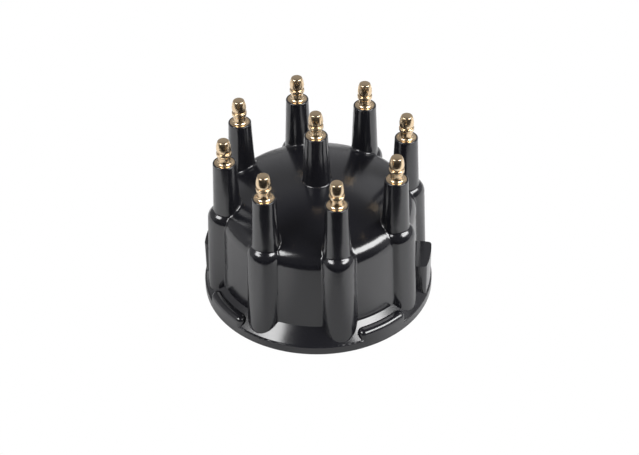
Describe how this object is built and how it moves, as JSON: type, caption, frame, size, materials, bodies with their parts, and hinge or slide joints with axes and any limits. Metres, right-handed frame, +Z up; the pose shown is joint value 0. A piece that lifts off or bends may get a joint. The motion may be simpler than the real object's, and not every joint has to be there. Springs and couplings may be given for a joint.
{
  "type": "distributor cap",
  "caption": "Round moulded distributor cap with a ring of terminal towers, a taller centre tower, clip seats and a hollow flanged base.",
  "frame": {"origin": "centre of the base, on the plane that seats on the distributor housing", "axes": "+Z up along the cap's axis through the centre tower; -Y towards the plain panel in the picture's front; the side ears lie on +X and -X"},
  "size_m": [0.1024, 0.1024, 0.0901],
  "materials": {
    "moulding": "glossy black moulding",
    "terminals": "bright turned",
    "carbon": "pressed carbon, matt"
  },
  "bodies": {
    "root": {"cap_body": "moulding", "centre_terminal": "terminals", "carbon_contact": "carbon", "terminal_1": "terminals", "terminal_2": "terminals", "terminal_3": "terminals", "terminal_4": "terminals", "terminal_5": "terminals", "terminal_6": "terminals", "terminal_7": "terminals", "terminal_8": "terminals"}
  },
  "joints": []
}
